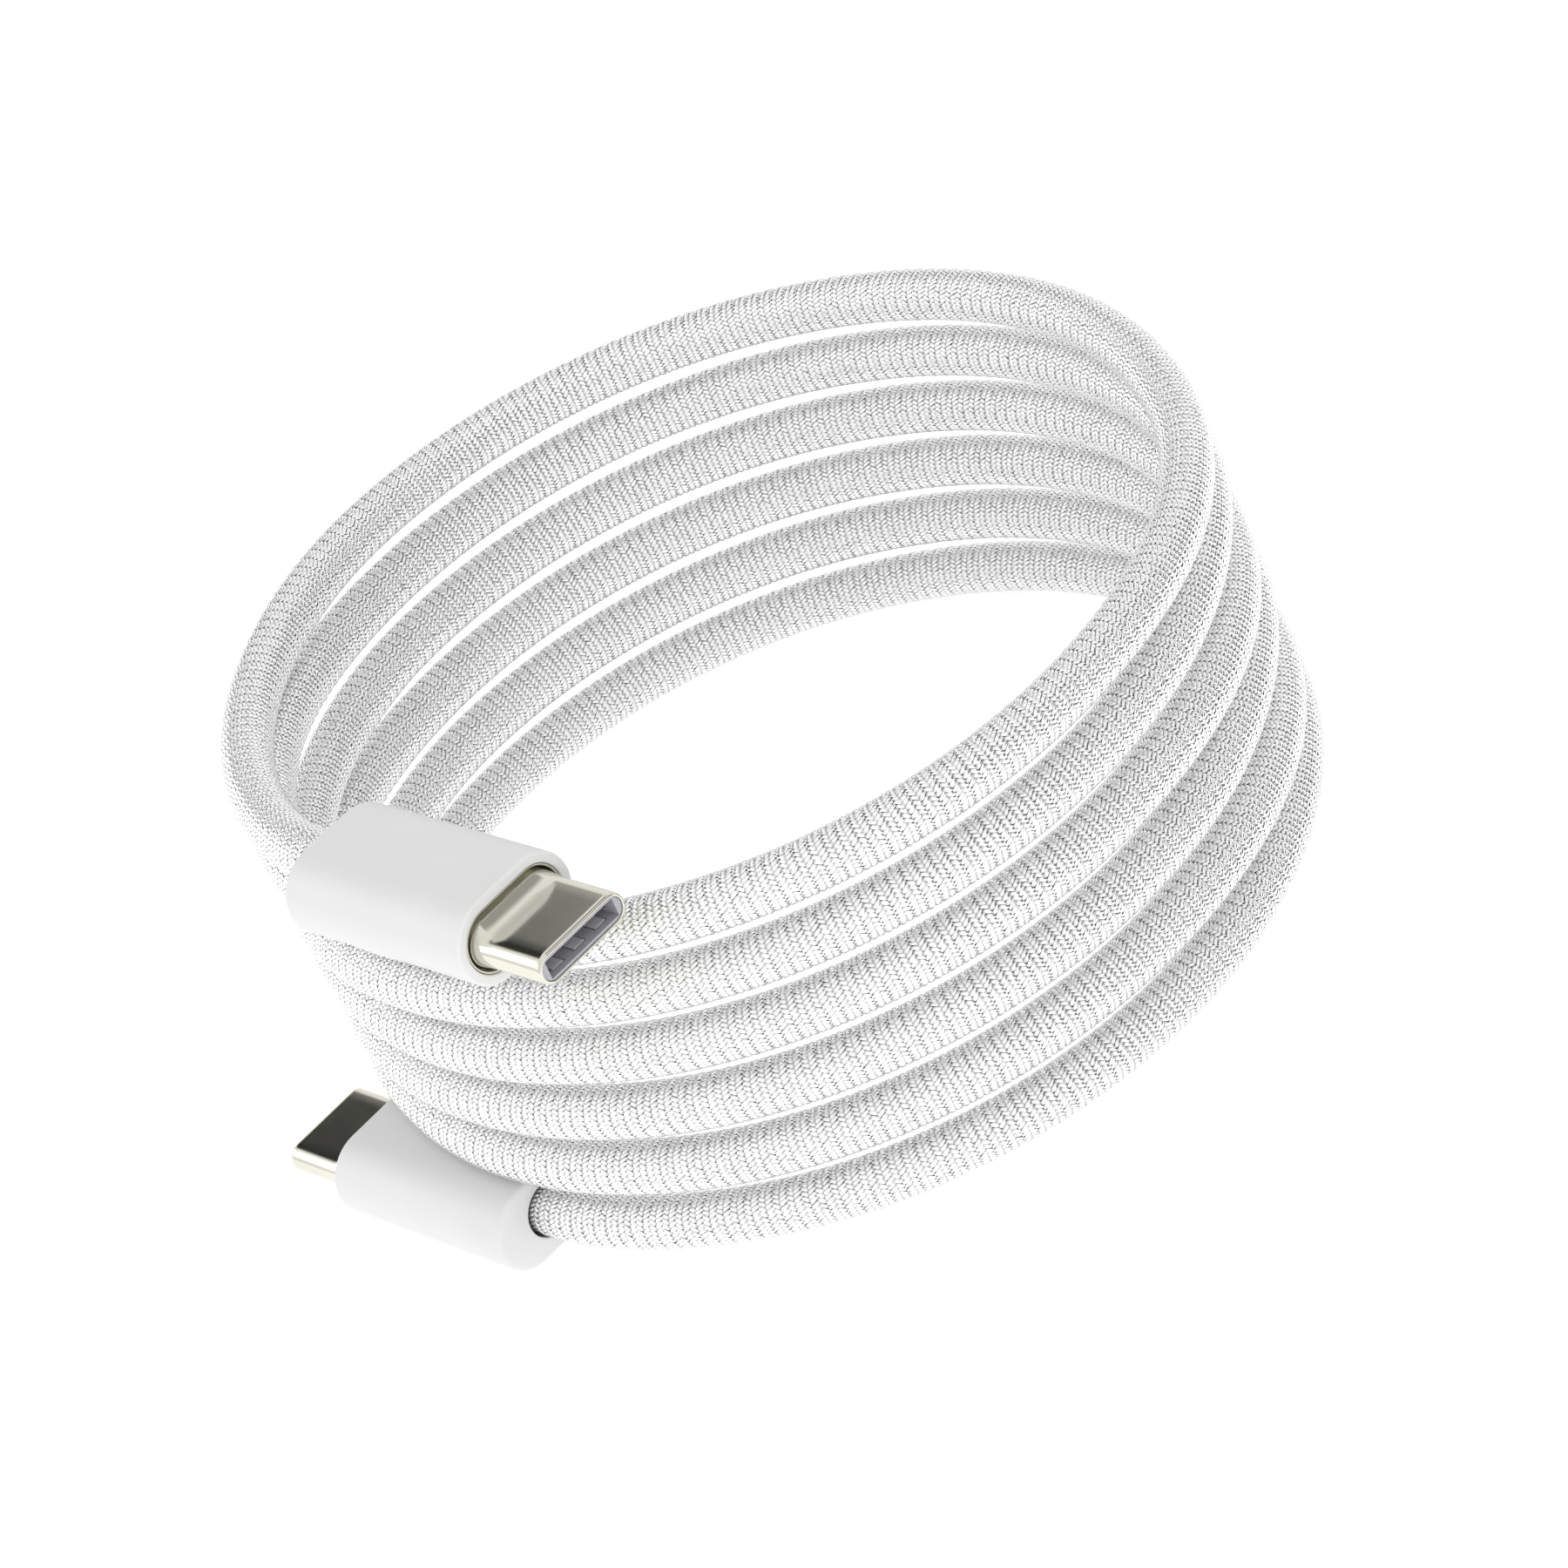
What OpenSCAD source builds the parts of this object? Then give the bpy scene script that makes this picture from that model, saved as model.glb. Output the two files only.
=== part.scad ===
// USB-C charging cable: a braided cord wound into a standing coil, with a plug on each end.
// The coil has its own frame, centred on the coil with its axis along Z. That frame is then
// tilted until the first turn and the lower plug rest on the ground plane.

/* [Cord and coil] */
// Diameter of the braided cord
cord_d = 3.9; // [3:0.1:6]
// Radius of the coil at the middle of the cord
coil_r = 35; // [25:1:60]
// Rise of the cord from one turn to the next
coil_pitch = 5.15; // [4:0.05:8]
// Angle that the cord is wound through, from plug B to plug A
wound_angle = 2154; // [720:6:2900]
// Angle round the coil where the cord leaves plug B
start_angle = 215; // [0:1:360]
// Lean of the coil's axis when the coil rests on the ground
coil_lean = 3.5; // [0:0.1:6]
// Direction in which the ground rises under the coil's own frame
lean_angle = 57; // [0:1:360]

/* [Plug housing] */
// Width of the housing
housing_w = 10.6; // [9.4:0.1:14]
// Thickness of the housing
housing_t = 6.4; // [5:0.1:9]
// Length of the housing from its rear face to its front face
housing_l = 17.8; // [16:0.1:26]
// Wall of the housing
housing_wall = 0.8; // [0.6:0.05:1.2]
// Radius of the housing's outer edges
housing_edge = 0.35; // [0.1:0.05:0.8]
// Thickness of the housing's rear wall
rear_wall = 1.3; // [1:0.1:2]
// Gap round the cord in the housing's rear hole
cord_gap = 0.2; // [0.1:0.05:0.5]

/* [Metal plug] */
// Width of the plug's shell
shell_w = 8.25; // [8.19:0.01:8.31]
// Thickness of the plug's shell
shell_t = 2.4; // [2.34:0.01:2.46]
// Length of shell that stands out of the housing's front face
shell_l = 6.5; // [6.2:0.05:6.7]
// Wall of the shell
shell_wall = 0.28; // [0.2:0.02:0.35]
// Depth of the recess in the front of the housing
recess_depth = 1; // [0.5:0.1:2]
// Length over which the shell flares out to the recess floor
flare_l = 2.6; // [1:0.1:3.5]

/* [Contacts and springs] */
// Number of contacts in each row
contact_count = 12; // [2:1:12]
// Distance between neighbouring contacts
contact_pitch = 0.5; // [0.5:0.05:0.55]
// Width of one contact
contact_w = 0.25; // [0.2:0.01:0.3]
// Thickness of the contact strip
contact_t = 0.12; // [0.08:0.01:0.15]
// Half the gap between the two rows of contacts
contact_gap = 0.36; // [0.3:0.01:0.4]
// Half the width of the slot that the socket's tongue enters
slot_half_w = 3.3; // [3.2:0.05:3.4]
// Half the height of that slot
slot_half_t = 0.7; // [0.62:0.01:0.72]

/* [Board and cable end] */
// Thickness of the circuit board
board_t = 0.8; // [0.6:0.1:0.8]
// Width of the circuit board
board_w = 7.2; // [6:0.1:7.6]
// Diameter of the cable's inner jacket, under the braid
jacket_d = 3.3; // [2.6:0.1:3.4]
// Diameter of a power wire
power_wire_d = 0.84; // [0.5:0.02:0.86]
// Diameter of a signal wire
signal_wire_d = 0.5; // [0.3:0.02:0.6]

/* [Hidden] */
$fn = 64;

// Colours
braid_white = "whitesmoke";
shell_white = [0.93, 0.93, 0.93];
nickel = [0.74, 0.73, 0.68];
carrier_grey = [0.45, 0.45, 0.47];
spring_steel = [0.62, 0.62, 0.62];
gold = [0.83, 0.68, 0.3];

// Coil frame, its resting place and the part's origin
turns = wound_angle / 360;
rest_height = 16.76;    // coil centre above the ground
frame_shift = [4.24, 0.44]; // coil centre from the middle of the whole cable's box
// Yaw outwards, pitch upwards and roll of each plug, against the line of the coil
plug_a_turn = [-4.4, -1.1, 0.8];
plug_b_turn = [-1.6, 1.4, 0.8];
lead_l = 9;      // length of cord between a plug's rear face and the coil's solid
lead_sides = 8;
lead_rings = 3;  // rings along a lead, outside the plug
cut_size = 160;  // side of the blocks that trim the coil
coil_barrel = 0.25; // how much narrower the coil's solid is at its ends than at its middle
coil_bands = 3;  // bands of the barrel on each side of its middle
fit_gap = 0.03;  // gap between nested pieces of one plug

// Stations along a plug, from the housing's rear face
floor_s = housing_l - recess_depth;
flange_s = floor_s - 0.3;
tip_s = housing_l + shell_l;
root_s = 16.5;                // where the sprung strips are held
carrier_rear_s = 15.5;
board_front_s = 15.3;
board_rear_s = 9.4;
jacket_front_s = 6.3;
collar_front_s = rear_wall + 2;

// Stations across a plug
cavity_w = housing_w - 2 * housing_wall;
cavity_t = housing_t - 2 * housing_wall;
liner_w = cavity_w - 2 * fit_gap;
liner_t = cavity_t - 2 * fit_gap;
liner_wall = 0.15;            // sheet that lines the recess
liner_inset = 0.25;           // from the housing's front face back to the liner's edge
bore_w = shell_w - 2 * shell_wall;
bore_t = shell_t - 2 * shell_wall;
carrier_w = bore_w - 2 * fit_gap;
carrier_t = bore_t - 2 * fit_gap;
finger_w = 1;
finger_l = 1.5;
finger_t = 0.1;
finger_spacing = 2.1;
window_front_s = tip_s - 0.7;
window_rear_s = window_front_s - finger_l - 0.2;
latch_half_t = 0.33;
latch_t = 0.25;
latch_inner = 3;
latch_front_s = tip_s - 1.6;
pocket_half_t = 0.42;
can_wall = 0.2;
can_gap = 0.05;               // from the middle plane to the edge of a shield can
can_front_s = flange_s - fit_gap;

// Places ------------------------------------------------------------------

// Height of the cord's middle in the coil frame, after turning through an angle from plug B
function cord_z(angle) = coil_pitch * (angle / 360 - turns / 2);
function cord_point(angle) =
    [coil_r * cos(start_angle + angle), coil_r * sin(start_angle + angle), cord_z(angle)];

// Direction in which a plug points; sense is 1 where it points on round the coil and -1 back
function plug_direction(angle, turn, sense) =
    let (a = start_angle + angle, yaw = turn[0], pitch = turn[1])
    [cos(pitch) * (sin(yaw) * cos(a) - sense * cos(yaw) * sin(a)),
     cos(pitch) * (sin(yaw) * sin(a) + sense * cos(yaw) * cos(a)),
     sin(pitch)];

// From the coil frame to the part's own frame
module rest() {
    translate([frame_shift.x, frame_shift.y, rest_height])
        rotate(a = coil_lean, v = [-sin(lean_angle), cos(lean_angle), 0])
            children();
}

// Everything below the ground, drawn in the coil frame
module below_ground() {
    rotate(a = -coil_lean, v = [-sin(lean_angle), cos(lean_angle), 0])
        translate([-cut_size / 2, -cut_size / 2, -rest_height - cut_size])
            cube(cut_size);
}

// A plug is drawn along Z from its rear face, with its width along X and its upper side at +Y
module on_plug_axis() {
    rotate([90, 0, 180])
        children();
}

module at_plug_a() {
    rest()
        translate(cord_point(wound_angle))
            rotate([0, 0, start_angle + wound_angle - plug_a_turn[0]])
                rotate([plug_a_turn[1], -plug_a_turn[2], 0])
                    on_plug_axis() children();
}

module at_plug_b() {
    rest()
        translate(cord_point(0))
            rotate([0, 0, start_angle + 180 + plug_b_turn[0]])
                rotate([plug_b_turn[1], plug_b_turn[2], 0])
                    on_plug_axis() children();
}

// Shapes ------------------------------------------------------------------

module stadium(w, t) {
    square([w - t, t], center = true);
    for (side = [-1, 1])
        translate([side * (w - t) / 2, 0])
            circle(d = t);
}

module stadium_bar(w, t, from_s, to_s) {
    translate([0, 0, from_s])
        linear_extrude(to_s - from_s)
            stadium(w, t);
}

module bar(w, t, from_s, to_s, x = 0, y = 0) {
    translate([x - w / 2, y - t / 2, from_s])
        cube([w, t, to_s - from_s]);
}

module rod(d, from_s, to_s, x = 0, y = 0) {
    translate([x, y, from_s])
        cylinder(d = d, h = to_s - from_s);
}

// Carries a half profile, x outwards from the middle line and y along the plug, round a stadium
module stadium_turned(w, t) {
    core = w - t;
    for (side = [0, 180])
        rotate([0, 0, side]) {
            translate([core / 2, 0, 0])
                rotate([0, 0, -90])
                    rotate_extrude(angle = 180)
                        children();
            translate([core / 2, 0, 0])
                rotate([90, 0, -90])
                    linear_extrude(core)
                        children();
        }
}

// Points of a quarter turn from one angle to another
function arc(cx, cy, rx, ry, from_a, to_a, steps) =
    [for (i = [0:steps]) let (a = from_a + (to_a - from_a) * i / steps)
        [cx + rx * cos(a), cy + ry * sin(a)]];

// A closed tube swept along a list of points
module swept_tube(points, d, sides) {
    count = len(points);
    function along(i) = points[min(i + 1, count - 1)] - points[max(i - 1, 0)];
    function unit(v) = v / norm(v);
    rings = [for (i = [0:count - 1])
        let (axis = unit(along(i)), side = unit(cross([0, 0, 1], axis)), up = cross(axis, side))
        for (k = [0:sides - 1])
            let (a = (k + 0.5) * 360 / sides)
            points[i] + d / 2 * (cos(a) * side + sin(a) * up)];
    walls = [for (i = [0:count - 2], k = [0:sides - 1])
        let (a = i * sides + k, b = i * sides + (k + 1) % sides)
        [a, a + sides, b + sides, b]];
    ends = [[for (k = [0:sides - 1]) k],
            [for (k = [sides - 1:-1:0]) (count - 1) * sides + k]];
    polyhedron(rings, concat(walls, ends));
}

// Cord --------------------------------------------------------------------

lead_angle = lead_l / coil_r * 180 / PI;

// Space that a plug and its lead take from the coil's solid, in the plug's own frame
module plug_space(low, high) {
    width = housing_w + 0.8;
    translate([-width / 2, low, -lead_l])
        cube([width, high - low, lead_l + tip_s + 1]);
}

// The outer side is very slightly barrelled, as a pile of turns is
module coil_wall() {
    wall_low = cord_z(0) - 2 * cord_d;
    wall_high = cord_z(wound_angle) + 2 * cord_d;
    outer = [for (i = [-coil_bands:coil_bands])
        [coil_r + cord_d / 2 - coil_barrel * pow(i / coil_bands, 2), wall_high * i / coil_bands]];
    rotate_extrude($fn = 128)
        polygon(concat(outer, [[coil_r - cord_d / 2, wall_high], [coil_r - cord_d / 2, wall_low]]));
}

module cable_coil() {
    middle = start_angle + wound_angle / 2;
    color(braid_white)
        difference() {
            rest()
                difference() {
                    coil_wall();
                    below_ground();
                    rotate(a = 180, v = [cos(middle), sin(middle), 0])
                        below_ground();
                }
            at_plug_b() plug_space(-housing_t, housing_t / 2 + fit_gap);
            at_plug_a() plug_space(-housing_t / 2 - fit_gap, housing_t);
        }
}

// A lead follows the line of the coil to the plug's rear face, then runs straight to the collar
module lead(plug_angle, sense, turn) {
    outside = [for (i = [lead_rings:-1:0]) cord_point(plug_angle - sense * lead_angle * i / lead_rings)];
    inside = cord_point(plug_angle) + collar_front_s * plug_direction(plug_angle, turn, sense);
    color(braid_white)
        rest()
            swept_tube(concat(outside, [inside]), cord_d, lead_sides);
}

module cable_lead_a() {
    lead(wound_angle, 1, plug_a_turn);
}

module cable_lead_b() {
    lead(0, -1, plug_b_turn);
}

// Plug, outer pieces ------------------------------------------------------

module housing() {
    half = housing_t / 2;
    profile = concat([[0, 0]],
                     arc(half - housing_edge, housing_edge, housing_edge, housing_edge, -90, 0, 6),
                     arc(half - housing_edge, housing_l - housing_edge, housing_edge, housing_edge, 0, 90, 6),
                     [[0, housing_l]]);
    color(shell_white)
        difference() {
            stadium_turned(housing_w, housing_t)
                polygon(profile);
            stadium_bar(cavity_w, cavity_t, rear_wall, housing_l + 1);
            rod(cord_d + 2 * cord_gap, -1, rear_wall + 1);
        }
}

// Drawn in one piece: the tube that enters the socket flares out to a liner in the recess
module plug_shell() {
    tube = shell_t / 2;
    lip = shell_wall / 2;
    flare_t = liner_t / 2 - liner_wall;
    profile = concat([[tube - shell_wall, flange_s], [liner_w / 2, flange_s], [liner_w / 2, floor_s]],
                     arc(flare_t, floor_s + flare_l, flare_t - tube, flare_l, 270, 180, 8),
                     arc(tube - lip, tip_s - lip, lip, lip, 0, 180, 8));
    color(nickel) {
        intersection() {
            stadium_turned(shell_w, shell_t)
                polygon(profile);
            stadium_bar(liner_w, liner_t, flange_s, tip_s);
        }
        difference() {
            stadium_bar(liner_w, liner_t, flange_s, housing_l - liner_inset);
            stadium_bar(liner_w - 2 * liner_wall, liner_t - 2 * liner_wall, flange_s - 1, housing_l);
        }
    }
}

module contact_carrier() {
    color(carrier_grey)
        difference() {
            stadium_bar(carrier_w, carrier_t, carrier_rear_s, tip_s - 0.12);
            // slot for the socket's tongue, with the contacts along its walls
            bar(2 * slot_half_w, 2 * slot_half_t, root_s - 0.1, tip_s + 1);
            // openings for the contact tails and the latch plate
            for (side = [-1, 1])
                bar(2 * slot_half_w - 0.4, contact_t + 0.1, carrier_rear_s - 1, root_s + 0.5,
                    y = side * (contact_gap + contact_t / 2));
            bar(2 * slot_half_w, 0.36, carrier_rear_s - 1, root_s + 0.5);
            // side pockets that the latches open into
            bar(shell_w, 2 * pocket_half_t, root_s - 0.1, latch_front_s + 0.3);
            // windows for the ground springs
            for (i = [-1:1])
                bar(finger_w + 0.2, shell_t, window_rear_s, window_front_s, x = i * finger_spacing);
        }
}

// Plug, contacts and springs ----------------------------------------------

module contact_row(side) {
    first = -(contact_count - 1) / 2;
    color(gold)
        for (i = [0:contact_count - 1])
            bar(contact_w, contact_t, root_s, window_rear_s - 0.3,
                x = (first + i) * contact_pitch, y = side * (contact_gap + contact_t / 2));
}

module contact_tails() {
    first = -(contact_count - 1) / 2;
    color(gold)
        for (side = [-1, 1], i = [0:contact_count - 1])
            bar(contact_w, contact_t, board_front_s - 1.4, root_s - 0.05,
                x = (first + i) * contact_pitch,
                y = side * (board_t / 2 + fit_gap + contact_t / 2));
}

// A latch is an arm with a hooked nose that points into the slot
module latch(side) {
    nose = 0.45;
    color(spring_steel)
        translate([0, latch_half_t, 0])
            rotate([90, 0, 0])
                linear_extrude(2 * latch_half_t)
                    polygon([for (p = [[latch_inner, root_s], [latch_inner + latch_t, root_s],
                                       [latch_inner + latch_t, latch_front_s],
                                       [latch_inner, latch_front_s],
                                       [latch_inner - nose, latch_front_s - 0.7],
                                       [latch_inner, latch_front_s - 1.6]])
                             [side * p[0], p[1]]]);
}

module latch_plate() {
    color(spring_steel)
        bar(2 * (latch_inner + latch_t) - 0.1, 0.2, board_front_s + 0.05, root_s - 0.15);
}

module ground_springs(side) {
    for (i = [-1:1])
        color(spring_steel)
            bar(finger_w, finger_t, window_rear_s + 0.1, window_rear_s + 0.1 + finger_l,
                x = i * finger_spacing, y = side * (slot_half_t + 0.01));
}

// Plug, inner pieces ------------------------------------------------------

module circuit_board() {
    color("darkgreen")
        bar(board_w, board_t, board_rear_s, board_front_s);
}

module marker_chip() {
    size = 2;
    color("black")
        bar(size, 0.55, 11.2, 11.2 + size, y = board_t / 2 + fit_gap + 0.275);
}

module resistors() {
    color("dimgray")
        for (x = [-2.4, 2.4], s = [11.2, 12.6])
            bar(0.5, 0.35, s, s + 1, x = x, y = board_t / 2 + fit_gap + 0.175);
}

// Half of a stadium sleeve, pressed from thin sheet
module shield_can(side) {
    color(spring_steel)
        scale([1, side, 1])
            difference() {
                stadium_bar(liner_w, liner_t, board_rear_s, can_front_s);
                stadium_bar(liner_w - 2 * can_wall, liner_t - 2 * can_wall,
                            board_rear_s - 1, can_front_s + 1);
                bar(housing_w, housing_t, board_rear_s - 1, can_front_s + 1,
                    y = can_gap - housing_t / 2);
            }
}

module inner_mould() {
    color("gainsboro")
        difference() {
            stadium_bar(liner_w, liner_t, collar_front_s + 0.05, board_rear_s - 0.1);
            rod(jacket_d + 1.1, collar_front_s - 1, jacket_front_s + 0.1);
            bar(2.8, 2.6, jacket_front_s - 1, board_rear_s + 1, y = 0.2);
        }
}

module cord_collar() {
    color("dimgray")
        difference() {
            rod(liner_t, rear_wall, collar_front_s);
            rod(cord_d + 2 * fit_gap, rear_wall - 1, collar_front_s + 1);
        }
}

module crimp_ring() {
    color(spring_steel)
        difference() {
            rod(jacket_d + 0.8, collar_front_s + 0.3, jacket_front_s - 0.5);
            rod(jacket_d + 2 * fit_gap, collar_front_s, jacket_front_s);
        }
}

module inner_jacket() {
    color("white")
        rod(jacket_d, collar_front_s, jacket_front_s);
}

module power_wires() {
    for (wire = [[-0.5, "red"], [0.5, "black"]])
        color(wire[1])
            rod(power_wire_d, jacket_front_s, board_rear_s + 1.2,
                x = wire[0], y = board_t / 2 + fit_gap + power_wire_d / 2);
}

module signal_wires() {
    for (wire = [[-0.6, "green"], [0, "white"], [0.6, "blue"]])
        color(wire[1])
            rod(signal_wire_d, jacket_front_s, board_rear_s + 1.2,
                x = wire[0], y = -(board_t / 2 + fit_gap + signal_wire_d / 2));
}

// Nodes -------------------------------------------------------------------

cable_coil();
cable_lead_a();
cable_lead_b();
at_plug_a() housing();  // plug_a_housing
at_plug_a() plug_shell();  // plug_a_shell
at_plug_a() contact_carrier();  // plug_a_contact_carrier
at_plug_a() contact_row(1);  // plug_a_upper_contacts
at_plug_a() contact_row(-1);  // plug_a_lower_contacts
at_plug_a() contact_tails();  // plug_a_contact_tails
at_plug_a() latch(1);  // plug_a_left_latch
at_plug_a() latch(-1);  // plug_a_right_latch
at_plug_a() latch_plate();  // plug_a_latch_plate
at_plug_a() ground_springs(1);  // plug_a_upper_ground_springs
at_plug_a() ground_springs(-1);  // plug_a_lower_ground_springs
at_plug_a() circuit_board();  // plug_a_circuit_board
at_plug_a() marker_chip();  // plug_a_marker_chip
at_plug_a() resistors();  // plug_a_resistors
at_plug_a() shield_can(1);  // plug_a_upper_shield_can
at_plug_a() shield_can(-1);  // plug_a_lower_shield_can
at_plug_a() inner_mould();  // plug_a_inner_mould
at_plug_a() crimp_ring();  // plug_a_crimp_ring
at_plug_a() power_wires();  // plug_a_power_wires
at_plug_a() signal_wires();  // plug_a_signal_wires
at_plug_a() inner_jacket();  // plug_a_inner_jacket
at_plug_a() cord_collar();  // plug_a_cord_collar
at_plug_b() housing();  // plug_b_housing
at_plug_b() plug_shell();  // plug_b_shell
at_plug_b() contact_carrier();  // plug_b_contact_carrier
at_plug_b() contact_row(1);  // plug_b_upper_contacts
at_plug_b() contact_row(-1);  // plug_b_lower_contacts
at_plug_b() contact_tails();  // plug_b_contact_tails
at_plug_b() latch(1);  // plug_b_left_latch
at_plug_b() latch(-1);  // plug_b_right_latch
at_plug_b() latch_plate();  // plug_b_latch_plate
at_plug_b() ground_springs(1);  // plug_b_upper_ground_springs
at_plug_b() ground_springs(-1);  // plug_b_lower_ground_springs
at_plug_b() circuit_board();  // plug_b_circuit_board
at_plug_b() resistors();  // plug_b_resistors
at_plug_b() shield_can(1);  // plug_b_upper_shield_can
at_plug_b() shield_can(-1);  // plug_b_lower_shield_can
at_plug_b() inner_mould();  // plug_b_inner_mould
at_plug_b() crimp_ring();  // plug_b_crimp_ring
at_plug_b() power_wires();  // plug_b_power_wires
at_plug_b() signal_wires();  // plug_b_signal_wires
at_plug_b() inner_jacket();  // plug_b_inner_jacket
at_plug_b() cord_collar();  // plug_b_cord_collar
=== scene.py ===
import math
import bpy
import numpy as np
from mathutils import Matrix, Vector


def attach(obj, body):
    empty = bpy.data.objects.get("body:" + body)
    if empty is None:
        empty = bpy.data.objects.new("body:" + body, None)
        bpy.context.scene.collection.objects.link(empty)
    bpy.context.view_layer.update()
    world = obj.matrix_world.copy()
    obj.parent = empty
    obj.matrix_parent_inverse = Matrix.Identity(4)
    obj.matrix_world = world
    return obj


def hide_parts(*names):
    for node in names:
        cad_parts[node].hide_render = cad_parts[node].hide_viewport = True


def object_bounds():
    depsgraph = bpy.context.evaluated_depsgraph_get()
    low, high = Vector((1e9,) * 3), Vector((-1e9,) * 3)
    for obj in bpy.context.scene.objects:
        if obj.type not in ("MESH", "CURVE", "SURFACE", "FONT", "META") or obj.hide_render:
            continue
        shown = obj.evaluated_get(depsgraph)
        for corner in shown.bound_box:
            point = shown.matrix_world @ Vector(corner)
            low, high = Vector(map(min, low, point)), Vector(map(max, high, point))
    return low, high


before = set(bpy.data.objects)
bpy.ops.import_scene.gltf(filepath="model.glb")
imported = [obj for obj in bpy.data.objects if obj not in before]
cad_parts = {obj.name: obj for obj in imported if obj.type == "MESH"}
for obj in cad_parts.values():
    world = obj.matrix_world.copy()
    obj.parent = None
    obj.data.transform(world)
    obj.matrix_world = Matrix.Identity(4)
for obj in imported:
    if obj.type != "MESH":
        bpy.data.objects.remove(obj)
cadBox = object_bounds()
print("frame loaded:", len(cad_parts), "nodes")

mm = 0.001  # sizes below are in millimetres until they are multiplied by this

# The cord's route: a standing coil, wound from plug B at its foot to plug A on its top
coil = {
    "cordDiameter": 3.9,
    "radius": 35.0,
    "pitch": 5.15,
    "woundAngle": 2154.0,
    "startAngle": 215.0,
    "lean": 3.5,  # degrees that the coil's axis leans
    "leanTowards": 57.0,
    "restHeight": 16.76,  # coil's centre above the floor
    "shift": (4.24, 0.44),
    "nudge": 0.62,  # how far a turn bends towards the turn that it touches
    "touchAt": (347.0, 172.0),  # where round the coil the turns touch, by turns
    "touchSpan": 45.0,  # degrees to each side over which a turn bends
    "straighten": 24.0,  # degrees of coil over which the cord lines up with its plug
    "step": 0.75,  # degrees between the points of the route
    "insideSteps": 8,  # points of the route inside each housing
}

# The plug, from its rear face; turn is yaw outwards, pitch upwards and roll in degrees
plug = {
    "housing": (10.6, 6.4, 17.8),
    "wall": 0.8,
    "rearWall": 1.3,
    "recess": 1.0,
    "shell": (8.25, 2.4, 6.5),
    "shellWall": 0.28,
    "liner": (8.94, 4.74),
    "linerWall": 0.15,
    "turnA": (-4.4, -1.1, 0.8),
    "turnB": (-1.6, 1.4, 0.8),
    "cordInside": 3.3,  # how far the braid runs into the housing
}


def turned(degrees, axis):
    return Matrix.Rotation(math.radians(degrees), 4, axis)


leanWay = math.radians(coil["leanTowards"])
leanAxis = Vector((-math.sin(leanWay), math.cos(leanWay), 0))
coilPlace = (Matrix.Translation(Vector((*coil["shift"], coil["restHeight"])) * mm)
             @ turned(coil["lean"], leanAxis))


# The camera stands where it sees the coil from above one side, rolled as it is held
cameraHold = {
    "elevation": 32.39,
    "roll": 25.23,
    "distance": 376.1,
    "slide": (0.71, -4.16),  # to the right and up, in the picture
    "aimHeight": 0.23,
    "turn": -0.3,  # round the coil's axis
    "lens": 120.2,
}


def makeCamera():
    data = bpy.data.cameras.new("camera")
    data.sensor_width = 36
    data.lens = cameraHold["lens"]
    data.clip_start = 0.01
    camera = bpy.data.objects.new("camera", data)
    bpy.context.collection.objects.link(camera)
    aim = turned(cameraHold["turn"], "Z") @ turned(90 - cameraHold["elevation"], "X")
    roll = turned(-cameraHold["roll"], "Z")
    slide = Vector((*cameraHold["slide"], cameraHold["distance"])) * mm
    lift = Matrix.Translation((0, 0, cameraHold["aimHeight"] * mm))
    camera.matrix_world = coilPlace @ lift @ aim @ roll @ Matrix.Translation(slide)
    bpy.context.scene.camera = camera


makeCamera()
print("camera ready")


# Places along the cord
def coilPoint(angle):
    turnsDone = angle / 360 - coil["woundAngle"] / 720
    around = math.radians(coil["startAngle"] + angle)
    return Vector((coil["radius"] * math.cos(around), coil["radius"] * math.sin(around),
                   coil["pitch"] * turnsDone))


def plugPlace(angle, turn, sense):
    yaw, pitch, roll = turn
    heading = coil["startAngle"] + angle + (180 if sense < 0 else 0) - sense * yaw
    return (coilPlace @ Matrix.Translation(coilPoint(angle) * mm) @ turned(heading, "Z")
            @ turned(-sense * roll, "Y") @ turned(pitch, "X")
            @ turned(180, "Z") @ turned(90, "X"))


placeA = plugPlace(coil["woundAngle"], plug["turnA"], 1)
placeB = plugPlace(0, plug["turnB"], -1)


# Each turn bends down to the one below it on one side and up to the one above it on the other
def bend(angle):
    total = 0
    for side, azimuth in zip((1, -1), coil["touchAt"]):
        fromTouch = (coil["startAngle"] + angle - azimuth + 180) % 360 - 180
        turnNumber = round((coil["startAngle"] + angle - fromTouch - azimuth) / 360)
        if abs(fromTouch) < coil["touchSpan"]:
            share = math.cos(math.radians(90 * fromTouch / coil["touchSpan"])) ** 2
            total += side * (-1) ** turnNumber * share * coil["nudge"]
    return total


def onCoil(angle):
    return coilPlace @ ((coilPoint(angle) + Vector((0, 0, bend(angle)))) * mm)


def joinSmoothly(start, startWay, end, endWay, count):
    reach = (end - start).length
    points = []
    for i in range(1, count):
        t = i / count
        points.append((2 * t ** 3 - 3 * t ** 2 + 1) * start + (t ** 3 - 2 * t ** 2 + t) * reach * startWay
                      + (3 * t ** 2 - 2 * t ** 3) * end + (t ** 3 - t ** 2) * reach * endWay)
    return points


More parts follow.
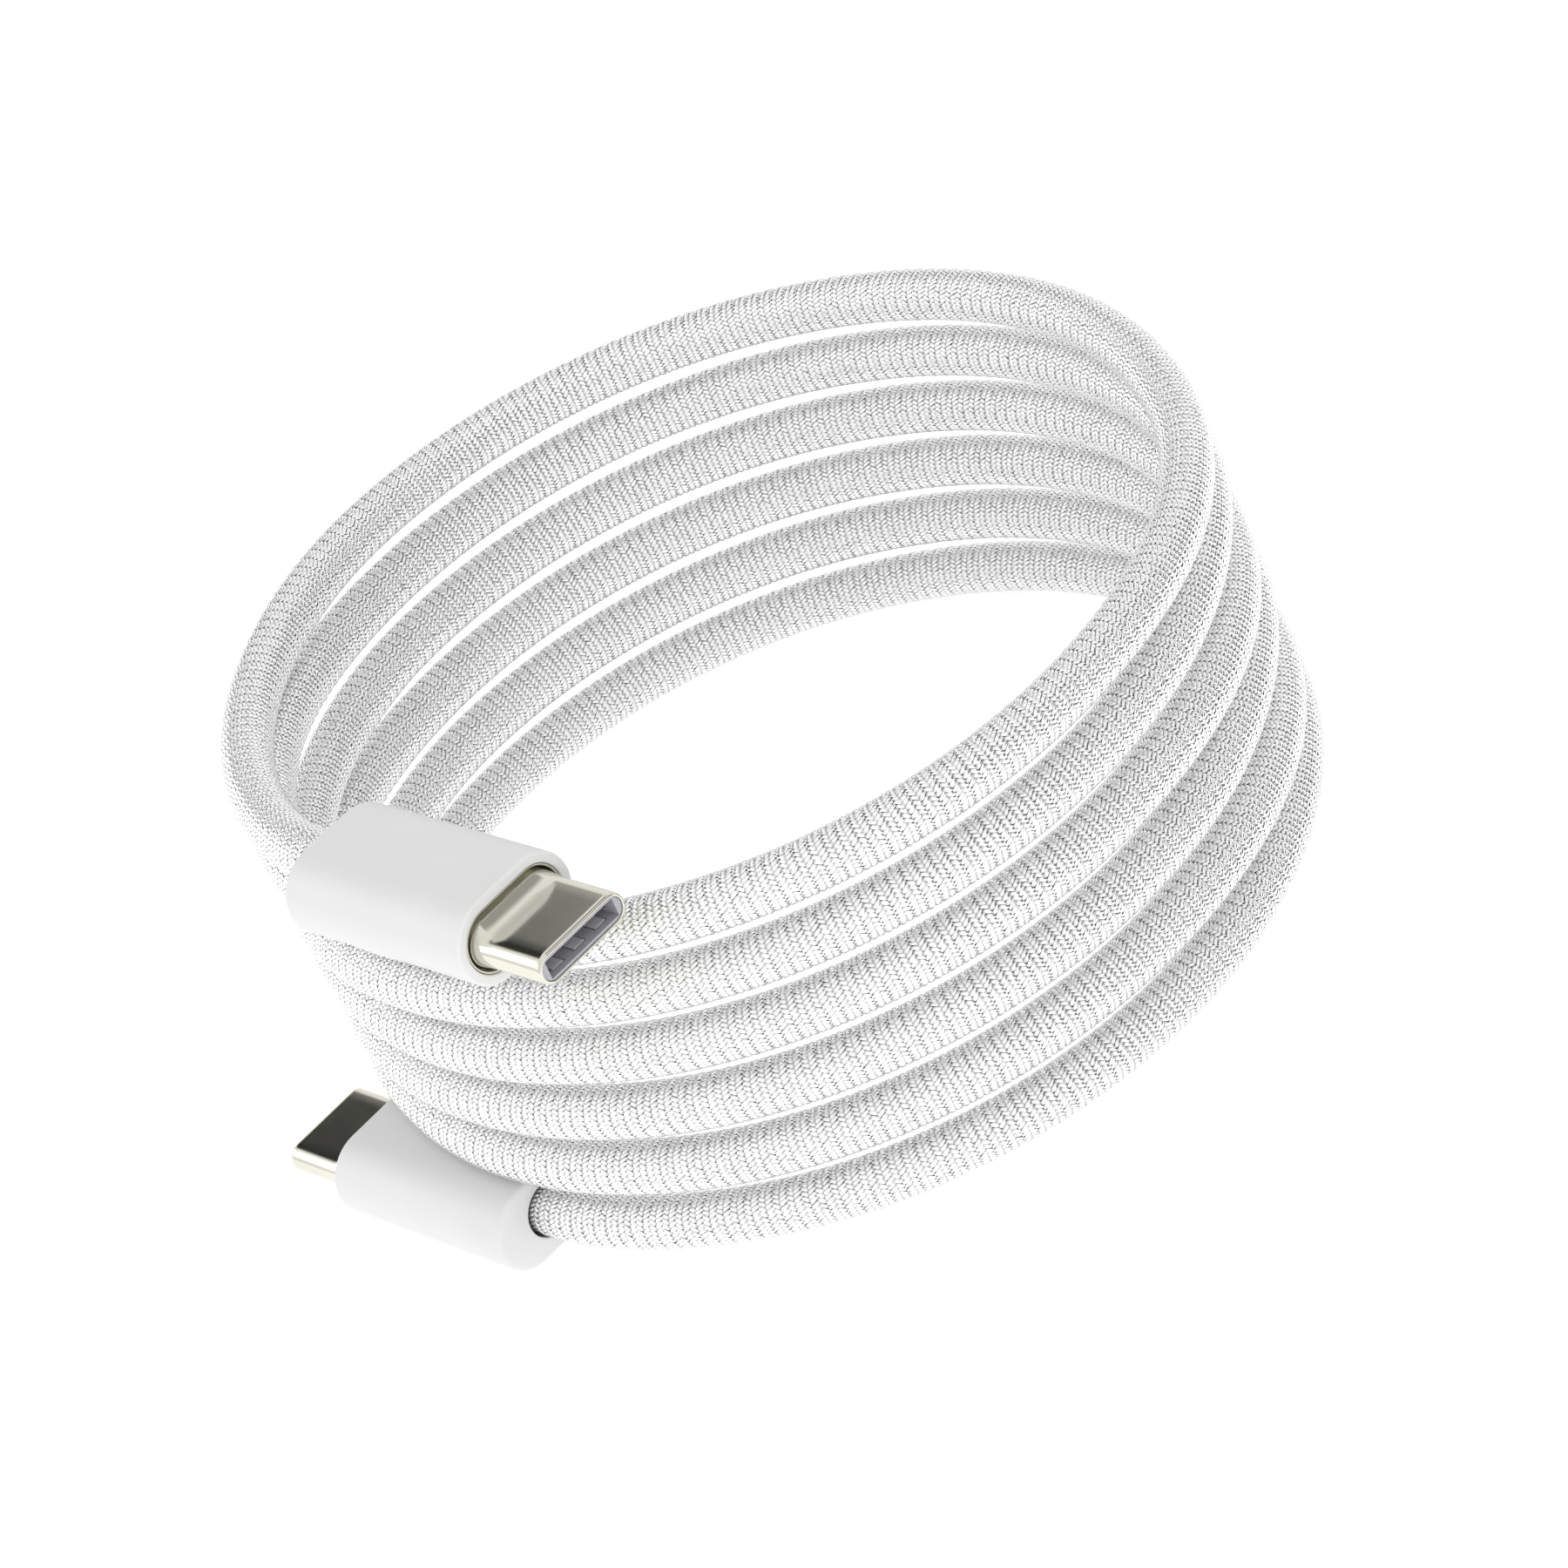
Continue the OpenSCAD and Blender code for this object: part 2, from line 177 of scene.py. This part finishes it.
def cordRoute():
    outA = (placeA.to_3x3() @ Vector((0, 0, 1))).normalized()
    outB = (placeB.to_3x3() @ Vector((0, 0, 1))).normalized()
    first, last = coil["straighten"], coil["woundAngle"] - coil["straighten"]
    count = round((last - first) / coil["step"])
    wound = [onCoil(first + (last - first) * i / count) for i in range(count + 1)]
    endSteps = round(coil["straighten"] / coil["step"])
    inside = [plug["cordInside"] * mm * i / coil["insideSteps"] for i in range(coil["insideSteps"], -1, -1)]
    rearA, rearB = placeA.translation, placeB.translation
    startWay = (wound[1] - wound[0]).normalized()
    endWay = (wound[-1] - wound[-2]).normalized()
    return ([rearB + outB * d for d in inside]
            + joinSmoothly(rearB, -outB, wound[0], startWay, endSteps) + wound
            + joinSmoothly(wound[-1], endWay, rearA, outA, endSteps)
            + [rearA + outA * d for d in reversed(inside)])


route = cordRoute()
routePoints = np.array([p[:] for p in route])
routeSteps = np.linalg.norm(np.diff(routePoints, axis=0), axis=1)
routeRun = np.concatenate([[0], np.cumsum(routeSteps)])
cordLength = float(routeRun[-1])
print("cord length", round(cordLength, 4), "m")


# Directions across the cord at every point of its route
def routeFrames():
    along = np.gradient(routePoints, routeRun, axis=0)
    along /= np.linalg.norm(along, axis=1)[:, None]
    up = np.array(coilPlace.to_3x3() @ Vector((0, 0, 1)))
    side = np.cross(along, up)
    side /= np.linalg.norm(side, axis=1)[:, None]
    return side, np.cross(side, along)


routeSide, routeUp = routeFrames()


# Turns a place on the cord, as length along it, angle round it and distance from its middle, into a point
def aroundCord(run, angle, radius):
    shape = run.shape
    flat = run.ravel()

    def follow(values):
        return np.stack([np.interp(flat, routeRun, values[:, i]) for i in range(3)], axis=-1)

    outwards = (follow(routeSide) * np.cos(angle).ravel()[:, None]
                + follow(routeUp) * np.sin(angle).ravel()[:, None])
    return (follow(routePoints) + outwards * radius.ravel()[:, None]).reshape(*shape, 3)


def meshFromArrays(name, points, quads):
    mesh = bpy.data.meshes.new(name)
    mesh.vertices.add(len(points))
    mesh.vertices.foreach_set("co", points.astype(np.float32).ravel())
    mesh.loops.add(quads.size)
    mesh.loops.foreach_set("vertex_index", quads.astype(np.int32).ravel())
    mesh.polygons.add(len(quads))
    mesh.polygons.foreach_set("loop_start", np.arange(0, quads.size, 4, dtype=np.int32))
    mesh.polygons.foreach_set("use_smooth", np.ones(len(quads), dtype=bool))
    mesh.update(calc_edges=True)
    piece = bpy.data.objects.new(name, mesh)
    bpy.context.collection.objects.link(piece)
    return piece


# Materials
def newMaterial(name, colour, roughness, metallic=0.0, **more):
    material = bpy.data.materials.new(name)
    material.use_nodes = True
    nodes, links = material.node_tree.nodes, material.node_tree.links
    shader = nodes["Principled BSDF"]
    shader.inputs["Base Color"].default_value = (*colour, 1)
    shader.inputs["Roughness"].default_value = roughness
    shader.inputs["Metallic"].default_value = metallic
    for socket, value in more.items():
        shader.inputs[socket.replace("_", " ")].default_value = value
    return material, nodes, links, shader


def noise(nodes, links, scale, detail=3.0, stretch=None, coordinates="Object"):
    place = nodes.new("ShaderNodeTexCoord")
    texture = nodes.new("ShaderNodeTexNoise")
    texture.inputs["Scale"].default_value = scale
    texture.inputs["Detail"].default_value = detail
    source = place.outputs[coordinates]
    if stretch:
        mapping = nodes.new("ShaderNodeMapping")
        mapping.inputs["Scale"].default_value = stretch
        links.new(source, mapping.inputs["Vector"])
        source = mapping.outputs["Vector"]
    links.new(source, texture.inputs["Vector"])
    return texture.outputs["Fac"]


def blendColours(nodes, links, factor, dark, light, target, between=(0.3, 0.7)):
    ramp = nodes.new("ShaderNodeValToRGB")
    ramp.color_ramp.elements[0].position, ramp.color_ramp.elements[1].position = between
    ramp.color_ramp.elements[0].color = (*dark, 1)
    ramp.color_ramp.elements[1].color = (*light, 1)
    links.new(factor, ramp.inputs["Fac"])
    links.new(ramp.outputs["Color"], target)


def varyRoughness(nodes, links, factor, low, high, target):
    spread = nodes.new("ShaderNodeMapRange")
    spread.inputs["To Min"].default_value = low
    spread.inputs["To Max"].default_value = high
    links.new(factor, spread.inputs["Value"])
    links.new(spread.outputs["Result"], target)


def bump(nodes, links, height, strength, distance, shader):
    node = nodes.new("ShaderNodeBump")
    node.inputs["Strength"].default_value = strength
    node.inputs["Distance"].default_value = distance
    links.new(height, node.inputs["Height"])
    links.new(node.outputs["Normal"], shader.inputs["Normal"])


def yarnMaterial():
    material, nodes, links, shader = newMaterial("braidYarn", (0.95, 0.95, 0.95), 0.12, 0.85)
    mottle = noise(nodes, links, 9.0, 2.0, (6.0, 0.9, 1.0), "UV")
    # The yarn's colour follows the painted shade on each float's points, from near black where it dives to
    # white, with a brightness that differs by chance per yarn
    paintedShadeAndTone = nodes.new("ShaderNodeAttribute")
    paintedShadeAndTone.attribute_name = "paintedShadeAndTone"
    blendColours(nodes, links, paintedShadeAndTone.outputs["Fac"], (0.03, 0.03, 0.03), (0.96, 0.96, 0.96),
                 shader.inputs["Base Color"], (0.35, 0.9))
    varyRoughness(nodes, links, mottle, 0.09, 0.15, shader.inputs["Roughness"])
    bump(nodes, links, mottle, 0.15, 0.008 * mm, shader)
    return material


# Dark grey with a fine mottle: painted shade that shows through the gaps between the yarns
def coreShadeMaterial():
    material, nodes, links, shader = newMaterial("braidCoreShade", (0.2, 0.2, 0.2), 0.6)
    mottle = noise(nodes, links, 2500.0)
    blendColours(nodes, links, mottle, (0.14, 0.14, 0.14), (0.26, 0.26, 0.26), shader.inputs["Base Color"])
    return material


# The braid's inner layer, a closed tube under the yarns, coloured dark grey as painted shade in the gaps
# between them
core = {"radius": 1.78, "sides": 16, "every": 3}


def makeCore():
    picks = np.arange(0, len(routeRun), core["every"])
    run = routeRun[picks][:, None] + np.zeros(core["sides"])
    angle = np.arange(core["sides"]) * 2 * math.pi / core["sides"] + np.zeros((len(picks), 1))
    points = aroundCord(run, angle, np.full(run.shape, core["radius"] * mm)).reshape(-1, 3)
    ring = np.arange(core["sides"])
    nextOne = (ring + 1) % core["sides"]
    starts = np.arange(len(picks) - 1)[:, None] * core["sides"]
    quads = np.stack([starts + ring, starts + nextOne, starts + nextOne + core["sides"],
                      starts + ring + core["sides"]], axis=-1).reshape(-1, 4)
    piece = meshFromArrays("cordCore", points, quads)
    piece.data.materials.append(coreShadeMaterial())
    return piece


# The braid itself: flat yarns that pass over two and under two, in two directions round the cord
braid = {
    "yarns": 32,  # in each direction
    "repeat": 1.03,
    "middle": 1.86,  # radius at which the two directions cross
    "rise": 0.095,
    "crown": 0.085,  # how far a yarn's edges lie below its middle
    "cover": 0.95,  # yarn width as a share of the room that it has
    "unevenness": 0.03,
    "endShade": {1: 0.3, -1: 0.7},  # how much darker a yarn is painted where it dives, by direction: painted shade, stronger in one direction as a painted dark reflection
    # painted shade along the edges of a yarn's raised middle
    "edgeShade": 0.08,
    "evenTone": 0.9,  # the darkest tone that a whole yarn takes by chance
    "pieces": 6,
    "seed": 11,
}


patchPoints = 12  # four places along a float, three across it


def floatPieces(chance, ringMiddles, sense):
    spacing = 2 * math.pi / braid["yarns"]
    step = braid["repeat"] * mm / 4  # along the cord, from one crossing to the next
    radius = braid["middle"] * mm
    slope = math.atan2(radius * spacing / 2, step)
    width = radius * spacing * math.cos(slope) * braid["cover"]
    travel = np.array([-1.5, -0.5, 0.5, 1.5])[None, None, :, None]
    lift = np.array([-1.0, 0.8, 0.8, -1.0])[None, None, :, None]
    across = np.array([-0.5, 0.0, 0.5])[None, None, None, :]
    rings, yarns = len(ringMiddles), braid["yarns"]
    shape = (rings, yarns, 4, 3)
    wobble = chance.normal(0, braid["unevenness"], (4, rings, yarns, 1, 1))
    middles = ringMiddles[:, None, None, None] + wobble[0] * step
    turnAt = (np.arange(yarns) + sense * 0.25)[None, :, None, None] * spacing + wobble[1] * spacing
    wide = width * (1 + wobble[2])
    run = middles + travel * step - sense * across * wide * math.sin(slope)
    angle = turnAt + sense * travel * spacing / 2 + across * wide * math.cos(slope) / radius
    height = radius + braid["rise"] * mm * (lift + wobble[3]) - braid["crown"] * mm * (2 * across) ** 2
    points = aroundCord(*(np.broadcast_to(values, shape) for values in (run, angle, height)))
    offset = chance.uniform(0, 50, (rings, yarns, 1, 1))
    mapped = np.broadcast_arrays(across + 0.5 + offset, travel / 3 + offset, np.zeros(shape))
    yarnMap = np.stack(mapped, axis=-1)[..., :2]
    # Painted shade: a float is darker where it dives under the crossing yarns, more so in one direction as a
    # painted dark reflection, and a little darker along the edges of its raised middle; each yarn's
    # brightness also differs by chance
    shade = (1 - braid["endShade"][sense] * (lift < 0)
             - braid["edgeShade"] * (np.abs(across) > 0) * (lift > 0))
    paintedShadeAndTone = np.broadcast_to(shade * chance.uniform(braid["evenTone"], 1, (rings, yarns, 1, 1)), shape)
    return points.reshape(-1, 3), yarnMap.reshape(-1, 2), paintedShadeAndTone.ravel()


def makeBraid(material, coreTube):
    chance = np.random.default_rng(braid["seed"])
    repeat = braid["repeat"] * mm
    margin = 2 * repeat
    ringCount = int((cordLength - 2 * margin) / repeat)
    middles = margin + np.arange(ringCount) * repeat
    row, column = np.meshgrid(np.arange(3), np.arange(2), indexing="ij")
    corner = row * 3 + column
    faces = np.stack([corner, corner + 3, corner + 4, corner + 1], axis=-1).reshape(-1, 4)
    for number, share in enumerate(np.array_split(middles, braid["pieces"]), start=1):
        parts = [floatPieces(chance, share, 1), floatPieces(chance, share + repeat / 2, -1)]
        points, yarnMap, paintedShadeAndTone = (np.concatenate(both) for both in zip(*parts))
        starts = np.arange(0, len(points), patchPoints)
        quads = (faces[None] + starts[:, None, None]).reshape(-1, 4)
        piece = meshFromArrays(f"braid_{number}", points, quads)
        mesh = piece.data
        layer = mesh.uv_layers.new(name="yarn")
        layer.data.foreach_set("uv", yarnMap[quads.ravel()].astype(np.float32).ravel())
        # Each point's painted shade, times its yarn's brightness by chance
        mesh.attributes.new("paintedShadeAndTone", "FLOAT", "POINT").data.foreach_set("value", paintedShadeAndTone.astype(np.float32))
        mesh.materials.append(material)
        piece.parent = coreTube
    print("braid pieces:", braid["pieces"], "with", ringCount * 2 * braid["yarns"], "floats")


coreTube = makeCore()
makeBraid(yarnMaterial(), coreTube)


# Rings of points for the plug's outer pieces: a stadium, or a circle with as many points
ringSteps = {"arc": 22, "flat": 8}


def stadiumRing(width, thickness, along):
    radius, middle = thickness / 2, (width - thickness) / 2
    arcs, flats = ringSteps["arc"], ringSteps["flat"]
    points = []
    for side in (1, -1):
        for i in range(arcs + 1):
            angle = math.pi * (i / arcs - 0.5)
            points.append(Vector((side * (middle + radius * math.cos(angle)),
                                  side * radius * math.sin(angle), along)))
        for i in range(1, flats):
            points.append(Vector((side * middle * (1 - 2 * i / flats), side * radius, along)))
    return points


def circleRing(width, thickness, radius, along):
    ring = []
    for point in stadiumRing(width, thickness, along):
        ring.append(Vector((point.x, point.y, 0)).normalized() * radius + Vector((0, 0, along)))
    return ring


def loftClosed(name, rings, place):
    count = len(rings[0])
    points = np.array([(place @ (p * mm))[:] for ring in rings for p in ring])
    step, total = np.arange(count), len(rings)
    quads = []
    for i in range(total):
        here, after = i * count, (i + 1) % total * count
        nextOne = (step + 1) % count
        quads.append(np.stack([here + step, here + nextOne, after + nextOne, after + step], -1))
    return meshFromArrays(name, points, np.concatenate(quads))


def fillet(centre, radius, fromAngle, toAngle, steps=6):
    points = []
    for i in range(steps + 1):
        angle = math.radians(fromAngle + (toAngle - fromAngle) * i / steps)
        points.append((centre[0] + radius * math.cos(angle), centre[1] + radius * math.sin(angle)))
    return points


# The housing: outlines are (distance in from the outer surface, place along the plug)
housingShape = {
    "rearEdge": 0.35,
    "frontEdge": 0.22,
    "rimInside": 0.14,
    "holeEdge": 0.12,
    "hole": 2.15,
    "hold": 0.1,  # from a rounded edge to the ring that keeps the face beside it flat
    "holdInHole": 0.05,
}


def makeHousing(side, place, material):
    width, thickness, length = plug["housing"]
    wall, rear = plug["wall"], plug["rearWall"]
    edge, front, rim = housingShape["rearEdge"], housingShape["frontEdge"], housingShape["rimInside"]
    lip, hole, hold = housingShape["holeEdge"], housingShape["hole"], housingShape["hold"]
    outline = [(edge + hold, 0)] + fillet((edge, edge), edge, 270, 180)
    outline += [(0, edge + hold), (0, length / 3), (0, length * 2 / 3), (0, length - front - hold)]
    outline += fillet((front, length - front), front, 180, 90)
    outline += fillet((wall - rim, length - rim), rim, 90, 0)
    outline += [(wall, length - rim - hold), (wall, length / 2), (wall, rear)]
    rings = [circleRing(width, thickness, hole, rear)]
    rings.append(circleRing(width, thickness, hole, lip + housingShape["holdInHole"]))
    for inwards, along in fillet((lip, lip), lip, 180, 270, 4):
        rings.append(circleRing(width, thickness, hole + inwards, along))
    for inwards, along in outline:
        rings.append(stadiumRing(width - 2 * inwards, thickness - 2 * inwards, along))
    piece = loftClosed(f"plug_{side}_housing_body", rings, place)
    piece.data.materials.append(material)
    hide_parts(f"plug_{side}_housing")
    return piece


# The shell: a tube with a rounded lip, a long flare and the liner of the recess
shellShape = {
    "lipLength": 0.36,  # how far back the rounding of the outer edge begins
    "lipInside": 0.07,  # rounding of the inner edge
    "lipSteps": 9,
    "flare": 2.7,
    "bend": 1.7,
    "bendSteps": 10,
    "coneSteps": (0.7, 0.97, 1),  # rings of the straight cone, as shares of the flare
    "linerInset": 0.1,
    "behindFloor": 0.3,  # how far the shell runs on behind the recess's floor
    "lipFlat": 0.02,  # metal left between the two roundings of the lip
    "holdInside": 0.2,
    "holdLip": 0.1,
    "holdFlare": 0.2,
    "holdFloor": (0.04, 0.1),
    "holdEdge": (0.12, 0.05),
}


def makeShell(side, place, materials):
    width, thickness, standsOut = plug["shell"]
    length = plug["housing"][2]
    floor = length - plug["recess"]
    back = floor - shellShape["behindFloor"]
    tip = length + standsOut
    wall, lip, inside = plug["shellWall"], shellShape["lipLength"], shellShape["lipInside"]
    linerWidth, linerThickness = plug["liner"]
    inner = 2 * plug["linerWall"]
    footWidth, footThickness = linerWidth - inner, linerThickness - inner
    rings = [stadiumRing(width - 2 * wall, thickness - 2 * wall, back)]
    rings.append(stadiumRing(width - 2 * wall, thickness - 2 * wall, tip - inside - shellShape["holdInside"]))
    for inwards, along in fillet((wall - inside, tip - inside), inside, 0, 90, 4):
        rings.append(stadiumRing(width - 2 * inwards, thickness - 2 * inwards, along))
    deep = wall - inside - shellShape["lipFlat"]
    for i in range(shellShape["lipSteps"] + 1):
        angle = math.pi / 2 * (1 - i / shellShape["lipSteps"])
        inwards = deep * (1 - math.cos(angle))
        along = tip - lip * (1 - math.sin(angle))
        rings.append(stadiumRing(width - 2 * inwards, thickness - 2 * inwards, along))
    rings.append(stadiumRing(width, thickness, tip - lip - shellShape["holdLip"]))
    rings.append(stadiumRing(width, thickness, floor + shellShape["flare"] + shellShape["holdFlare"]))
    bend = shellShape["bend"] / shellShape["flare"]
    bendPlaces = [bend * i / shellShape["bendSteps"] for i in range(shellShape["bendSteps"] + 1)]
    for share in (*bendPlaces, *shellShape["coneSteps"]):
        bent = min(share, bend) ** 2 / 2 + max(share - bend, 0) * bend
        spread = bent / (bend - bend ** 2 / 2)
        rings.append(stadiumRing(width + (footWidth - width) * spread,
                                 thickness + (footThickness - thickness) * spread,
                                 floor + shellShape["flare"] * (1 - share)))
    linerEdge = length - shellShape["linerInset"]
    lining = len(rings) - 1
    fromFloor = [floor + hold for hold in shellShape["holdFloor"]]
    toEdge = [linerEdge - hold for hold in shellShape["holdEdge"]]
    for along in fromFloor + toEdge:
        rings.append(stadiumRing(footWidth, footThickness, along))
    for inwards, along in fillet((inner / 4, linerEdge - inner / 4), inner / 4, 0, 180, 4):
        rings.append(stadiumRing(linerWidth - 2 * inwards, linerThickness - 2 * inwards, along))
    rings.append(stadiumRing(linerWidth, linerThickness, back))
    piece = loftClosed(f"plug_{side}_shell_body", rings, place)
    finish = np.zeros(len(piece.data.polygons), dtype=np.int32)
    finish[lining * len(rings[0]):(len(rings) - 1) * len(rings[0])] = 1  # the duller second finish
    for material in materials:
        piece.data.materials.append(material)
    piece.data.polygons.foreach_set("material_index", finish)
    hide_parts(f"plug_{side}_shell")
    return piece


def housingMaterial():
    material, nodes, links, shader = newMaterial("housingPlastic", (0.67, 0.67, 0.67), 0.42)
    fine = noise(nodes, links, 5200.0, 4.0)
    varyRoughness(nodes, links, fine, 0.38, 0.48, shader.inputs["Roughness"])
    cloudy = noise(nodes, links, 130.0, 2.0)
    blendColours(nodes, links, cloudy, (0.66, 0.66, 0.66), (0.68, 0.68, 0.68), shader.inputs["Base Color"])
    bump(nodes, links, fine, 0.12, 0.006 * mm, shader)
    return material


def nickelMaterial(name, smoothest, roughest):
    material, nodes, links, shader = newMaterial(name, (0.68, 0.67, 0.59), smoothest, 1.0)
    drawn = noise(nodes, links, 900.0, 3.0)
    varyRoughness(nodes, links, drawn, smoothest, roughest, shader.inputs["Roughness"])
    blendColours(nodes, links, noise(nodes, links, 220.0), (0.67, 0.66, 0.57), (0.72, 0.71, 0.62),
                 shader.inputs["Base Color"])
    bump(nodes, links, drawn, 0.02, 0.002 * mm, shader)
    return material


def speckled(name, dark, light, roughness, metallic=0.0, scale=3000.0, strength=0.1):
    material, nodes, links, shader = newMaterial(name, light, roughness, metallic)
    speck = noise(nodes, links, scale)
    blendColours(nodes, links, speck, dark, light, shader.inputs["Base Color"])
    varyRoughness(nodes, links, speck, roughness * 0.85, roughness * 1.15, shader.inputs["Roughness"])
    bump(nodes, links, speck, strength, 0.005 * mm, shader)
    return material


whitePlastic = housingMaterial()
nickelPlates = nickelMaterial("nickelPlate", 0.1, 0.14), nickelMaterial("nickelLining", 0.42, 0.5)
for side, place in (("a", placeA), ("b", placeB)):
    for piece in (makeHousing(side, place, whitePlastic), makeShell(side, place, nickelPlates)):
        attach(piece, "cable")
print("housings and shells ready")

# Finishes of the plug's other pieces, by the end of their names
finishes = {
    "contact_carrier": speckled("carrierPlastic", (0.33, 0.33, 0.36), (0.38, 0.38, 0.41), 0.5),
    "contacts": speckled("goldPlate", (0.75, 0.56, 0.2), (0.85, 0.66, 0.28), 0.22, 1.0),
    "contact_tails": speckled("goldTails", (0.72, 0.55, 0.22), (0.82, 0.66, 0.3), 0.3, 1.0),
    "latch": speckled("springSteel", (0.5, 0.5, 0.5), (0.6, 0.6, 0.59), 0.3, 1.0),
    "latch_plate": speckled("latchSteel", (0.48, 0.48, 0.48), (0.58, 0.58, 0.57), 0.32, 1.0),
    "ground_springs": speckled("springStrip", (0.6, 0.6, 0.63), (0.7, 0.7, 0.73), 0.4, 0.2),
    "circuit_board": speckled("solderMask", (0.01, 0.12, 0.05), (0.02, 0.2, 0.09), 0.35),
    "marker_chip": speckled("chipBody", (0.02, 0.02, 0.02), (0.05, 0.05, 0.05), 0.55),
    "resistors": speckled("resistorBody", (0.04, 0.04, 0.05), (0.1, 0.1, 0.11), 0.4),
    "shield_can": speckled("tinnedSheet", (0.55, 0.55, 0.54), (0.66, 0.66, 0.64), 0.34, 1.0),
    "inner_mould": speckled("milkyMould", (0.72, 0.72, 0.7), (0.8, 0.8, 0.78), 0.5),
    "crimp_ring": speckled("crimpSteel", (0.5, 0.5, 0.5), (0.6, 0.6, 0.58), 0.38, 1.0),
    "power_wires": speckled("powerWire", (0.4, 0.02, 0.02), (0.55, 0.04, 0.03), 0.4),
    "signal_wires": speckled("signalWire", (0.03, 0.22, 0.08), (0.06, 0.32, 0.13), 0.4),
    "inner_jacket": speckled("jacketRubber", (0.72, 0.72, 0.72), (0.82, 0.82, 0.82), 0.6),
    "cord_collar": speckled("collarRubber", (0.03, 0.03, 0.03), (0.07, 0.07, 0.07), 0.65),
}
for name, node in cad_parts.items():
    for ending, finish in finishes.items():
        if name.endswith(ending):
            node.data.materials.clear()
            node.data.materials.append(finish)

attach(coreTube, "cable")
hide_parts("cable_coil", "cable_lead_a", "cable_lead_b")


# Floor, light and the dark flags that only reflections see
studio = {
    "floorSize": 6.0,
    "fade": 0.5,  # how near its middle a flag is fully dark
    "floorWhite": 0.7,
    "floorGlow": 0.56,
    "worldGlow": 1.0,
    # each lamp: azimuth from +Y towards +X, elevation, width, height, power and whether metal reflects it
    "lamps": {"key": (-70.0, 26.0, 1.0, 0.5, 1.9, True), "fill": (170.0, 8.0, 1.2, 0.6, 4.6, False)},
    "reach": 1.2,  # metres from the cable to the lamps and the flags
    # each flag: azimuth, elevation, half its width and half its height as angles, its turn and how dark it is
    "flags": (
        (106.0, 15.0, 31.0, 24.0, 0.0, 1.0),
        (-19.0, 41.0, 28.0, 13.0, 35.0, 0.97),
        (60.0, 60.0, 20.0, 14.0, 0.0, 0.6),
    ),
}


def placeFrom(centre, azimuth, elevation):
    across, up = math.radians(azimuth), math.radians(elevation)
    way = Vector((math.sin(across) * math.cos(up), math.cos(across) * math.cos(up), math.sin(up)))
    return centre + way * studio["reach"]


def pointAt(thing, target):
    thing.rotation_euler = (target - thing.location).to_track_quat("-Z", "Y").to_euler()


def makePlane(name, halfWidth, halfDepth, location):
    corners = np.array([[-1, -1, 0], [1, -1, 0], [1, 1, 0], [-1, 1, 0]])
    plane = meshFromArrays(name, corners, np.array([[0, 1, 2, 3]]))
    plane.scale = (halfWidth, halfDepth, 1)
    plane.location = location
    return plane


# Dark in the middle and clear at the edge, so that its reflection has no hard outline
def flagMaterial(name, darkness):
    material, nodes, links, shader = newMaterial(name, (0, 0, 0), 1.0)
    place = nodes.new("ShaderNodeTexCoord")
    gradient = nodes.new("ShaderNodeTexGradient")
    gradient.gradient_type = "SPHERICAL"
    links.new(place.outputs["Object"], gradient.inputs["Vector"])
    fade = nodes.new("ShaderNodeMapRange")
    fade.inputs["From Max"].default_value = studio["fade"]
    fade.inputs["To Max"].default_value = darkness
    links.new(gradient.outputs["Fac"], fade.inputs["Value"])
    links.new(fade.outputs["Result"], shader.inputs["Alpha"])
    shader.inputs["Specular IOR Level"].default_value = 0
    return material


def makeStudio():
    centre = (cadBox[0] + cadBox[1]) / 2
    world = bpy.data.worlds.new("studio")
    bpy.context.scene.world = world
    world.use_nodes = True
    world.node_tree.nodes["Background"].inputs["Color"].default_value = (1, 1, 1, 1)
    world.node_tree.nodes["Background"].inputs["Strength"].default_value = studio["worldGlow"]
    floor = makePlane("floor", studio["floorSize"] / 2, studio["floorSize"] / 2, Vector((0, 0, 0)))
    paper = newMaterial("paper", (studio["floorWhite"],) * 3, 0.9, 0.0, Emission_Color=(1, 1, 1, 1),
                        Emission_Strength=studio["floorGlow"])[0]
    floor.data.materials.append(paper)
    for name, (azimuth, elevation, wide, high, power, reflected) in studio["lamps"].items():
        lamp = bpy.data.lights.new(name, "AREA")
        lamp.shape = "RECTANGLE"
        lamp.size, lamp.size_y = wide, high
        lamp.energy = power
        light = bpy.data.objects.new(name, lamp)
        light.location = placeFrom(centre, azimuth, elevation)
        light.visible_glossy = reflected
        pointAt(light, centre)
        bpy.context.collection.objects.link(light)
    for number, (azimuth, elevation, wide, high, turn, darkness) in enumerate(studio["flags"], start=1):
        halfWidth, halfHeight = (studio["reach"] * math.tan(math.radians(half)) for half in (wide, high))
        flag = makePlane(f"flag_{number}", halfWidth, halfHeight, placeFrom(centre, azimuth, elevation))
        pointAt(flag, centre)
        flag.rotation_euler.rotate_axis("Z", math.radians(turn))
        flag.data.materials.append(flagMaterial(f"flagCloth_{number}", darkness))
        flag.visible_camera = False
        flag.visible_diffuse = False
        flag.visible_shadow = False
    bpy.context.scene.view_settings.view_transform = "Standard"


makeStudio()
print("studio ready")
